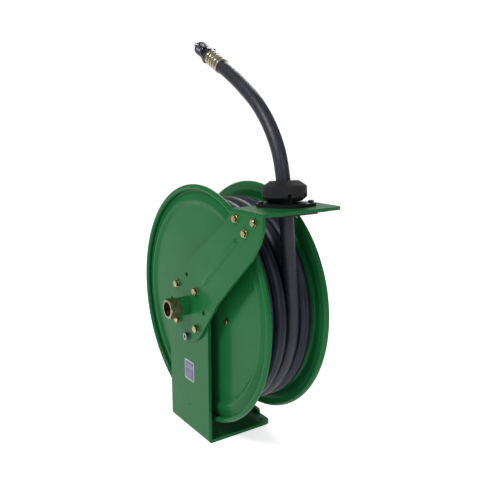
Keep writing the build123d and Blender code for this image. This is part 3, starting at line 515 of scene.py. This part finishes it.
def make_studio():
    centre = (0, 0, 0.3)
    make_light("key", (0.3, -1.7, 2.0), centre, 44, 0.8)
    make_light("fill", (2.0, -0.2, 1.3), centre, 7, 1.0)
    make_light("back", (-1.3, 1.2, 1.8), centre, 16, 1.0)
    world = bpy.data.worlds.new("studio")
    world.use_nodes = True
    tree = world.node_tree
    tree.nodes["Background"].inputs["Color"].default_value = (1, 1, 1, 1)
    path = tree.nodes.new("ShaderNodeLightPath")
    strength = tree.nodes.new("ShaderNodeMapRange")
    strength.inputs["To Min"].default_value = LIT_WORLD
    strength.inputs["To Max"].default_value = SEEN_WORLD
    tree.links.new(path.outputs["Is Camera Ray"], strength.inputs["Value"])
    tree.links.new(strength.outputs["Result"], tree.nodes["Background"].inputs["Strength"])
    bpy.context.scene.world = world
    bpy.context.scene.view_settings.view_transform = "Standard"
    s = 6
    floor_mesh = bpy.data.meshes.new("floor")
    floor_mesh.from_pydata([(-s, -s, 0), (s, -s, 0), (s, s, 0), (-s, s, 0)], [], [(0, 1, 2, 3)])
    floor = link(bpy.data.objects.new("floor", floor_mesh))
    material, tree, shader = base_material("pale_floor", (0.95, 0.95, 0.95), 0.8, specular=0.2)
    tree.links.new(ramp(tree, noise(tree, 3, 2), [(0.3, (0.95, 0.95, 0.95)), (0.7, (0.96, 0.96, 0.96))]),
                   shader.inputs["Base Color"])
    shader.inputs["Emission Color"].default_value = (1, 1, 1, 1)
    shader.inputs["Emission Strength"].default_value = FLOOR_GLOW
    floor.data.materials.append(material)


make_camera()
make_studio()

# --- free hose, the cord -------------------------------------------------------------------------
HOSE_ROUTE = [(0.1652, 0, 0.4440), (0.1585, 0, 0.4880), (0.1370, 0, 0.5330), (0.1000, 0, 0.5760),
              (0.0540, 0, 0.6080), (0.0200, 0, 0.6285), (-0.0105, 0, 0.6445)]
END = Vector(HOSE_ROUTE[-1])
END_AXIS = (END - Vector(HOSE_ROUTE[-2])).normalized()

free_hose = tube_curve("free_hose_tube", HOSE_ROUTE, HOSE_R)
finish_piece(free_hose, "stand", HOSE, ["free_hose"])


# --- coupler on the hose end ---------------------------------------------------------------------
def on_end(name, rows, body, material, replaces, wave=None, steps=96, closed=True, sharp=35):
    """Turned piece on the hose end's axis, from (distance, radius) rows in millimetres."""
    rows = [(t * MM, r * MM) for t, r in rows]
    obj = mesh_object(name, *turned(rows, END, END_AXIS, steps, wave, closed), sharp)
    return finish_piece(obj, body, material, replaces)


FERRULE_R = 13.4
FERRULE_L = 42.0


def make_ferrule():
    """Crimped shell: four rolled grooves, eight crimp flats and rounded ends."""
    rows = [(0.0, 11.35), (0.0, 12.4), (0.4, 13.0), (1.2, FERRULE_R), (5.6, FERRULE_R)]
    for i in range(4):
        t = 6.2 + 8.0 * i
        rows += [(t, FERRULE_R), (t + 0.7, 12.9), (t + 1.3, 12.3), (t + 2.4, 12.15), (t + 3.5, 12.3),
                 (t + 4.1, 12.9), (t + 4.8, FERRULE_R), (t + 6.6, FERRULE_R + 0.05)]
    rows += [(39.6, FERRULE_R), (41.0, 13.0), (41.7, 12.2), (FERRULE_L, 11.4), (FERRULE_L, 8.6), (37, 8.6),
             (36.5, 11.3)]

    def crimp(t, a, r):
        if t < 4 * MM or t > 38 * MM or r < 12 * MM:
            return r
        return r - 0.22 * MM * (0.5 + 0.5 * cos(8 * a))

    on_end("ferrule_shell", rows, "stand", FERRULE, ["ferrule"], crimp, 160)


def make_adapter():
    """Black hexagon, its ends chamfered, with a turned neck."""
    origin = END + END_AXIS * (FERRULE_L + 0.5) * MM
    middle = origin + END_AXIS * 5 * MM
    parts = [hexagon_head(middle, END_AXIS, 27 * MM, 5 * MM),
             hexagon_head(middle, -END_AXIS, 27 * MM, 5 * MM),
             turned([(9 * MM, 0), (9 * MM, 7.35 * MM), (13 * MM, 7.35 * MM), (13 * MM, 0)], origin, END_AXIS,
                    64, closed=False)]
    obj = join_meshes("coupler_hexagon", parts)
    soften(obj, 0.25 * MM)
    finish_piece(obj, "stand", BLACK_STEEL, ["coupler_adapter"])


def make_coupler_sleeve():
    """Release sleeve with two plain bands and a diamond-knurled grip between them."""
    a, b = 57.5, 81.0
    rows = [(a, 9.8), (a, 11.0), (a + 0.3, 11.7), (a + 1.0, 12.15), (a + 3.6, 12.15), (a + 4.2, 11.9),
            (a + 4.7, 11.45)]
    grip = 40
    for i in range(grip + 1):
        rows.append((a + 5.0 + (b - a - 10.6) * i / grip, 11.5))
    rows += [(b - 5.3, 11.45), (b - 4.8, 11.9), (b - 4.2, 12.15), (b - 1.0, 12.15), (b - 0.3, 11.7),
             (b, 11.0), (b, 9.45), (72.2, 9.35), (72.2, 9.8)]

    def knurl(t, angle, r):
        if abs(r - 11.5 * MM) > 1e-6:
            return r
        t = t / MM
        first = abs(((30 * angle / (2 * pi) + t * 0.42) % 1) - 0.5)
        second = abs(((30 * angle / (2 * pi) - t * 0.42) % 1) - 0.5)
        return r + 0.38 * MM * (min(first, second) * 4 - 0.5)

    on_end("release_sleeve_shell", rows, "release_sleeve", CHROME, ["coupler_sleeve"], knurl,
           240)


def make_coupler_body():
    rows = [(52.6, 7.5), (52.6, 9.2), (53.0, 9.6), (60, 9.6), (60, 8.6), (79.4, 8.6), (79.4, 7.7),
            (80.8, 7.7), (80.8, 8.6), (83.0, 8.6), (83.7, 8.2), (84.0, 7.4), (84.0, 6.2), (83.4, 5.65),
            (70.6, 5.65), (70.5, 7.0), (68.3, 7.0), (68.2, 5.65), (67.2, 5.6), (67.1, 5.1), (65.8, 5.1),
            (65.0, 6.6), (57.5, 6.6), (57.4, 7.5)]
    on_end("coupler_barrel", rows, "stand", CHROME, ["coupler_body"])


def make_plug():
    rows = [(71.2, 0), (71.2, 4.2), (71.6, 4.9), (72.2, 5.3), (84.6, 5.3), (84.6, 6.2), (84.9, 6.6),
            (86.0, 6.6), (86.4, 6.2), (87.0, 4.0), (88.4, 3.2), (90.2, 3.2), (91.0, 4.2), (92.0, 4.7),
            (94.4, 4.8), (95.6, 4.4), (96.5, 3.4), (97.1, 1.8), (97.3, 0)]
    on_end("closing_plug", rows, "plug", STEEL, ["plug"], closed=False)


make_ferrule()
make_adapter()
make_coupler_sleeve()
make_coupler_body()
make_plug()


# --- pressed discs -------------------------------------------------------------------------------
def make_disc(side, name, node):
    """Pressed disc: flat middle, soft ridge, flat margin and a curled rim. side is -1 near, +1 far."""
    plate, rise = PLATE_Y, 4.5 * MM
    bead = 4.8 * MM
    crest = rounded([(plate, 171 * MM), (plate, 174 * MM), (plate + rise, 180 * MM),
                     (plate + rise, 184 * MM), (plate, 195.5 * MM), (plate, 199 * MM)],
                    [0, 4 * MM, 3 * MM, 4 * MM, 8 * MM, 0], 6)
    under = rounded([(plate - SHEET, 171 * MM), (plate - SHEET, 174.6 * MM),
                     (plate + rise - SHEET, 180.6 * MM), (plate + rise - SHEET, 183.4 * MM),
                     (plate - SHEET, 195 * MM), (plate - SHEET, 200 * MM)],
                    [0, 4 * MM, 3 * MM, 4 * MM, 8 * MM, 0], 6)
    centre_y, centre_r = RIM_Y - bead, DISC_R - bead
    curl = []
    for i in range(29):
        a = radians(-152 + 304 * i / 28)
        curl.append((centre_y + bead * cos(a), centre_r + bead * sin(a)))
    profile = [(plate, DISC_BORE_R)] + crest + [(plate + 0.2 * MM, 200.0 * MM)] + curl
    profile += [(plate - SHEET, 206 * MM), (plate - SHEET, 201 * MM)] + list(reversed(under))
    profile += [(plate - SHEET, DISC_BORE_R)]
    rows = [(side * y, r) for y, r in profile]
    verts, faces = turned(rows, (0, 0, AXIS_Z), (0, 1, 0), 224)
    obj = mesh_object(name, verts, faces, 50)
    return finish_piece(obj, "drum", GREEN, [node])


make_disc(-1, "near_disc_pressing", "near_disc")
make_disc(1, "far_disc_pressing", "far_disc")


def around(count, radius, start=0.0):
    steps = [radians(start + 360.0 * i / count) for i in range(count)]
    return [(radius * cos(a), AXIS_Z + radius * sin(a)) for a in steps]


def make_disc_bolts():
    for side, node, start in ((-1, "near_disc_bolts", -8), (1, "far_disc_bolts", 37)):
        parts = []
        for i, (x, z) in enumerate(around(4, DISC_BOLTS_R, start)):
            parts += bolt_parts(x, z, side * PLATE_Y, side, 10 * MM, 3.9 * MM, 0, turn=0.3 * i)
            parts += bolt_parts(x, z, side * (PLATE_Y - 4.3 * MM), -side, 10 * MM, 4.9 * MM, 0, turn=0.4 * i)
        obj = join_meshes(node + "_heads", parts)
        finish_piece(obj, "drum", ZINC, [node])


make_disc_bolts()


# --- pedestal, arm and bracket -------------------------------------------------------------------
def plate_holes():
    holes = [circle(0, AXIS_Z, SPINDLE_HOLE_R, 64)]
    for sx in (-1, 1):
        for sz in (-1, 1):
            holes.append(circle(sx * SPINDLE_BOLTS_AT, AXIS_Z + sz * SPINDLE_BOLTS_AT, 4 * MM))
    for i in range(4):
        a = pi / 2 * i
        holes.append(circle(PAWL_HOLES_R * cos(a), AXIS_Z + PAWL_HOLES_R * sin(a), 4.2 * MM))
    return holes


def arc_points(radius, start, end, count):
    out = []
    for i in range(count + 1):
        a = radians(start + (end - start) * i / count)
        out.append((radius * cos(a), AXIS_Z + radius * sin(a)))
    return out


def foot_outline(start, far, corner):
    """The foot from the bend to its far edge, with two rounded corners."""
    left, right = PANEL_LOW[0], PANEL_HIGH[0]
    points = [(left, start), (right, start), (right, far), (left, far)]
    return rounded(points, [0, 0, corner, corner], 8, closed=True)


def make_pedestal():
    left, right, far = PANEL_LOW[0], PANEL_HIGH[0], PANEL_HIGH[1]
    bend = 7 * MM
    top = arc_points(HUB_R - 1 * MM, 0.0, 165.0, 40)
    outline = [(left, bend), (right, bend), (right, AXIS_Z - 16 * MM)] + top + [(left, AXIS_Z - 11 * MM)]
    front = flat_region(outline, plate_holes(), lambda x, z: (x, PANEL_Y, z))
    strip = bend_strip([left, right], (PANEL_Y + bend, bend), bend, 180, 270)
    holes = [circle(sx * FOOT_HOLE_X, sy * FOOT_HOLE_Y, 4.5 * MM) for sx in (-1, 1) for sy in (-1, 1)]
    sole = foot_outline(PANEL_Y + bend, far, 14 * MM)
    foot = flat_region(sole, holes, lambda x, y: (x, y, 0.0))
    obj = sheet_metal("pedestal_plate", [front, strip, foot], PANEL_T, 0.6 * MM)
    finish_piece(obj, "stand", GREEN, ["pedestal"])
    lip_outline = rounded([(-26 * MM, 4 * MM), (-26 * MM, 15 * MM), (26 * MM, 15 * MM), (26 * MM, 4 * MM)],
                          [0, 6 * MM, 6 * MM, 0], 6)
    lip = mesh_object("foot_lip", *flat_region(lip_outline, [], lambda x, z: (x, far, z)))
    thicken(lip, 5.5 * MM, -1)
    soften(lip, 0.8 * MM)
    finish_piece(lip, "stand", GREEN)


def slot_rings(start, end, radius, height, rings=8):
    """A long raised rib as rings of points, from its edge to its crest line."""
    a, b = Vector(start), Vector(end)
    along = (b - a).normalized()
    across = Vector((-along.y, along.x))
    loops = []
    for k in range(rings + 1):
        r = radius * (1 - k / rings)
        lift = height * (0.5 - 0.5 * cos(pi * k / rings)) ** 0.8
        loop = []
        for i in range(13):
            t = pi / 2 + pi * i / 12
            q = a + along * r * cos(t) + across * r * sin(t)
            loop.append((q.x, q.y, lift))
        for i in range(13):
            t = -pi / 2 + pi * i / 12
            q = b + along * r * cos(t) + across * r * sin(t)
            loop.append((q.x, q.y, lift))
        loops.append(loop)
    return loops


def touch_angle(x, z, side):
    """Angle on the hub where a line from (x, z) touches it, in degrees."""
    return degrees(atan2(z, x) + side * acos(HUB_R / hypot(x, z)))


def arm_outline(top):
    """The arm's outer face: hub, bar and head, up to the bend of its flange."""
    bar = [(101 * MM, 28 * MM), (190 * MM, 112 * MM), (214 * MM, 145 * MM), (ARM_RIGHT, 163 * MM)]
    last = (124 * MM, 163.6 * MM)
    low, high = touch_angle(*bar[0], -1), touch_angle(*last, 1)
    edge = [(HUB_R * cos(radians(low)), AXIS_Z + HUB_R * sin(radians(low)))]
    edge += [(x, AXIS_Z + z) for x, z in bar] + [(ARM_RIGHT, top)]
    edge = rounded(edge, [0, 16 * MM, 16 * MM, 16 * MM, 16 * MM, 0], 6)
    edge += [(ARM_LEFT, top), (last[0], AXIS_Z + last[1])]
    return edge + arc_points(HUB_R, high, low + 360, 64)[:-1]


def make_arm():
    top, far = ARM_HIGH[2], ARM_HIGH[1]
    bend = 5 * MM
    loops = slot_rings((62 * MM, AXIS_Z + 56 * MM), (152 * MM, AXIS_Z + 136 * MM), 7.5 * MM, 2.4 * MM)
    rib_edge = [(x, z) for x, z, _ in loops[0]]
    bolts = [circle(x * MM, AXIS_Z + z * MM, 3.1 * MM) for x, z in BRACKET_BOLTS]
    outline = arm_outline(top - bend)
    face = flat_region(outline, plate_holes() + [rib_edge] + bolts, lambda x, z: (x, ARM_Y, z))
    verts = [(x, ARM_Y - lift, z) for loop in loops for x, z, lift in loop]
    width = len(loops[0])
    faces = []
    for k in range(len(loops) - 1):
        for i in range(width):
            n = (i + 1) % width
            faces.append((k * width + i, k * width + n, (k + 1) * width + n, (k + 1) * width + i))
    strip = bend_strip([ARM_LEFT, ARM_RIGHT], (ARM_Y + bend, top - bend), bend, 180, 90)
    deck = [(ARM_LEFT, ARM_Y + bend), (ARM_RIGHT, ARM_Y + bend), (ARM_RIGHT, far), (ARM_LEFT, far)]
    deck = rounded(deck, [0, 0, 10 * MM, 10 * MM], 6, closed=True)
    window = circle(GUIDE_X, 0, GUIDE_HOLE_R, 64)
    flange = flat_region(deck, [window], lambda x, y: (x, y, top))
    obj = sheet_metal("arm_pressing", [face, (verts, faces), strip, flange], ARM_T, 0.6 * MM)
    finish_piece(obj, "stand", GREEN, ["guide_arm"])


def make_bracket():
    left, near, base = BRACKET_LOW
    right, far, deck_top = 203 * MM, BRACKET_HIGH[1], BRACKET_HIGH[2]
    outline = [(left, near), (right, near), (right, far), (left, far)]
    outline = rounded(outline, [0, 0, 12 * MM, 12 * MM], 6, closed=True)
    window = circle(GUIDE_X, 0, GUIDE_HOLE_R, 64)
    deck = flat_region(outline, [window], lambda x, y: (x, y, deck_top - 0.02 * MM))
    obj = sheet_metal("bracket_deck", [deck], 3.96 * MM, 0.5 * MM)
    finish_piece(obj, "stand", GREEN, ["outlet_bracket"])
    lug_top = deck_top - 3 * MM
    lug_right = BRACKET_HIGH[0] - 5 * MM
    base += 7 * MM
    lug_outline = rounded([(142 * MM, lug_top), (142 * MM, base), (lug_right, base), (lug_right, lug_top)],
                          [0, 12 * MM, 12 * MM, 0], 6)
    lug = mesh_object("bracket_lug", *flat_region(lug_outline, [], lambda x, z: (x, near + 4 * MM, z)))
    thicken(lug, 3.9 * MM, 1 if lug.data.polygons[0].normal.y < 0 else -1)
    soften(lug, 0.5 * MM)
    finish_piece(lug, "stand", GREEN)


make_pedestal()
make_arm()
make_bracket()


def make_stand_bolts():
    parts = []
    for i, (sx, sz) in enumerate([(-1, -1), (-1, 1), (1, -1), (1, 1)]):
        parts += bolt_parts(sx * SPINDLE_BOLTS_AT, AXIS_Z + sz * SPINDLE_BOLTS_AT, ARM_Y, turn=0.35 * i)
    finish_piece(join_meshes("spindle_bolt_heads", parts), "stand", ZINC, ["spindle_bolts"])
    parts = []
    tip = [(0, 0), (0, 3 * MM), (0.7 * MM, 3 * MM), (1 * MM, 2.6 * MM), (1 * MM, 0)]
    for i, (x, z) in enumerate(BRACKET_BOLTS):
        x, z = x * MM, AXIS_Z + z * MM
        parts += bolt_parts(x, z, ARM_Y, -1, 10 * MM, 4 * MM, 6.3 * MM, turn=0.5 * i + 0.2)
        parts.append(turned(tip, (x, PANEL_Y + 4 * MM, z), (0, 1, 0), 32, closed=False))
    finish_piece(join_meshes("bracket_bolt_heads", parts), "stand", ZINC, ["bracket_bolts"])


make_stand_bolts()


# --- wound hose ----------------------------------------------------------------------------------
def ring_turn(name, radius, y, replaces=(), wobble=0.0, phase=0.0):
    """One closed turn of hose round the drum, a little uneven."""
    steps, around_section = 120, 28
    verts, faces = [], []
    for i in range(steps):
        a = 2 * pi * i / steps
        shift = wobble * sin(2 * a + phase) + 0.5 * wobble * sin(5 * a + 2 * phase)
        for k in range(around_section):
            s = 2 * pi * k / around_section
            r = radius + HOSE_R * cos(s)
            verts.append((r * cos(a), y + shift + HOSE_R * sin(s), AXIS_Z + r * sin(a)))
    for i in range(steps):
        for k in range(around_section):
            j, n = (i + 1) % steps, (k + 1) % around_section
            faces.append((i * around_section + k, i * around_section + n, j * around_section + n,
                          j * around_section + k))
    obj = mesh_object(name, verts, faces, 80)
    return finish_piece(obj, "drum", WOUND_HOSE, replaces)


def make_pack():
    """Outer turns in their lanes, the turns below nested in the valleys between them."""
    for i, lane in enumerate((-1.5, -0.5, 1.5)):
        ring_turn(f"turn_outer_{i + 1}", TOP_LAYER_R, lane * LANE, ["hose_pack"] if i == 0 else (),
                  0.8 * MM, 1.7 * i)
    for i, (lane, radius) in enumerate(((-1, 154.7 * MM), (0, 152 * MM), (1, 152 * MM))):
        ring_turn(f"turn_second_{i + 1}", radius, lane * LANE, (), 0.3 * MM, 0.9 * i)
    low = TOP_LAYER_R - LAYER
    rows = [(-48 * MM, 93 * MM), (-48 * MM, low - 4 * MM), (48 * MM, low - 4 * MM), (48 * MM, 93 * MM)]
    obj = mesh_object("turns_inside", *turned(rows, (0, 0, AXIS_Z), (0, 1, 0), 120))
    finish_piece(obj, "drum", WOUND_HOSE)


make_pack()


# --- inlet thread and label ----------------------------------------------------------------------
def make_inlet_thread():
    """Coarse pipe thread inside the port: a helical ridge on the bore's wall and a seat ring, in near-black
    metal that is painted shade in the bore.
    """
    steps, turns, pitch = 48, 7, 1.8 * MM
    crest, root = 11.7 * MM, 12.5 * MM
    start = INLET_LOW[1] + 0.3 * MM
    verts, faces = [], []
    for j in range(steps * turns):
        a = 2 * pi * j / steps
        y = start + pitch * j / steps
        for radius, shift in ((crest, 0), (root, pitch / 2)):
            verts.append((radius * cos(a), y + shift, AXIS_Z + radius * sin(a)))
    for j in range(steps * turns - 1):
        k = 2 * j
        faces.append((k, k + 1, k + 3, k + 2))
        if j + 1 + steps < steps * turns:
            up = k + 2 * steps
            faces.append((k + 1, up, up + 2, k + 3))
    seat = INLET_LOW[1] + 13.9 * MM
    seat_ring = [(0, 6.1 * MM), (0, 12.5 * MM)]
    ring_verts, ring_faces = turned(seat_ring, (0, seat, AXIS_Z), (0, 1, 0), 48, closed=False)
    faces += [tuple(len(verts) + i for i in face) for face in ring_faces]
    obj = mesh_object("inlet_thread", verts + ring_verts, faces, 30)
    finish_piece(obj, "inlet", SHADED_THREAD)


def make_label():
    """Printed film: a dark field with a plain band and three plain bars."""
    front = PANEL_Y - 0.6 * MM
    middle, low, high = -4 * MM, AXIS_Z - 141.5 * MM, AXIS_Z - 104.5 * MM

    def tile(name, half, z_from, z_to, lift, material):
        outline = rounded([(middle - half, z_from), (middle + half, z_from), (middle + half, z_to),
                           (middle - half, z_to)], 0.6 * MM, 4, closed=True)
        obj = mesh_object(name, *flat_region(outline, [], lambda x, z: (x, front - lift, z)))
        finish_piece(obj, "stand", material)

    tile("label_field", 14.5 * MM, low + 2.5 * MM, high - 2.5 * MM, 0.05 * MM, LABEL_FIELD)
    tile("label_band", 12.5 * MM, high - 16 * MM, high - 7 * MM, 0.1 * MM, LABEL_BAND)
    for i in range(3):
        z = low + (5.0 + 4.2 * i) * MM
        tile(f"label_bar_{i + 1}", (9.5 + 0.8 * i) * MM, z, z + 2.2 * MM, 0.1 * MM, LABEL_BAND)


make_inlet_thread()
make_label()

# --- materials for the CAD nodes that stay -------------------------------------------------------
KEPT = {
    "spindle": STEEL, "shaft_sleeve": GREEN, "spindle_clip": SPRING, "drum_core": GREEN, "near_hub": GREEN,
    "near_bush": BRONZE, "far_bush": BRONZE, "spring_cup": GREEN, "spring_cover": GREEN,
    "power_spring": SPRING, "ratchet_ring": STEEL, "fluid_tube": STEEL, "outlet_elbow": BRASS,
    "inner_hose": HOSE, "far_cap": GREEN, "pawl": STEEL, "pawl_pin": SPRING, "pawl_spring": SPRING,
    "inlet_swivel": BRASS, "swivel_seals": SEAL, "swivel_clip": SPRING, "guide_housing": PLASTIC,
    "guide_ring": PLASTIC, "guide_screws": BLACK_STEEL, "roller_rear": ROLLER, "roller_front": ROLLER,
    "roller_near": ROLLER, "roller_far": ROLLER, "roller_pins": STEEL, "stop_front": STOP,
    "stop_rear": STOP, "stop_screws": BLACK_STEEL, "hose_run": HOSE, "hose_end": HOSE, "hose_stem": STEEL,
    "sleeve_spring": SPRING, "sleeve_clip": SPRING, "lock_balls": STEEL, "coupler_valve": BRASS,
    "valve_spring": SPRING, "coupler_seal": SEAL, "label_plate": LABEL_EDGE,
}
for name, material in KEPT.items():
    obj = nodes[name]
    obj.data.materials.clear()
    obj.data.materials.append(material)
